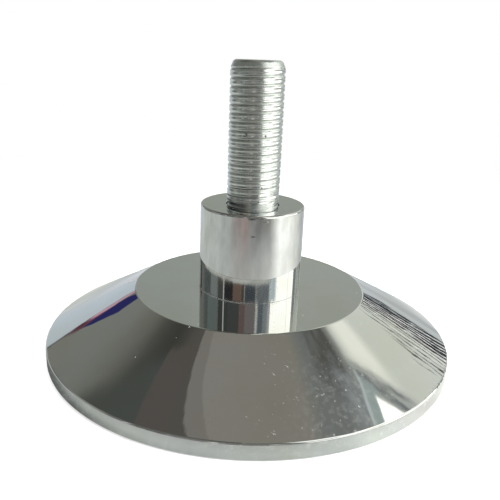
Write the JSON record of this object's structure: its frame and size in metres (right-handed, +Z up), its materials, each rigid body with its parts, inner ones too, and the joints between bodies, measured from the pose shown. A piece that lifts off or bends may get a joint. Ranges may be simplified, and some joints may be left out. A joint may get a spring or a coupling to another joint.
{
  "type": "pool table leg",
  "caption": "Screw-in levelling foot for a pool table leg: chromed conical base with a flat shoulder, smooth round collar and upright threaded stud.",
  "frame": {"origin": "centre of the base's underside, on the floor", "axes": "+Z up along the stud's axis"},
  "size_m": [0.1, 0.1, 0.0697],
  "materials": {
    "chrome_base": "mirror polished",
    "chrome_collar": "mirror polished",
    "zinc_stud": "bright zinc plated"
  },
  "bodies": {
    "root": {"conical_base": "chrome_base", "collar": "chrome_collar", "threaded_stud": "zinc_stud"}
  },
  "joints": []
}
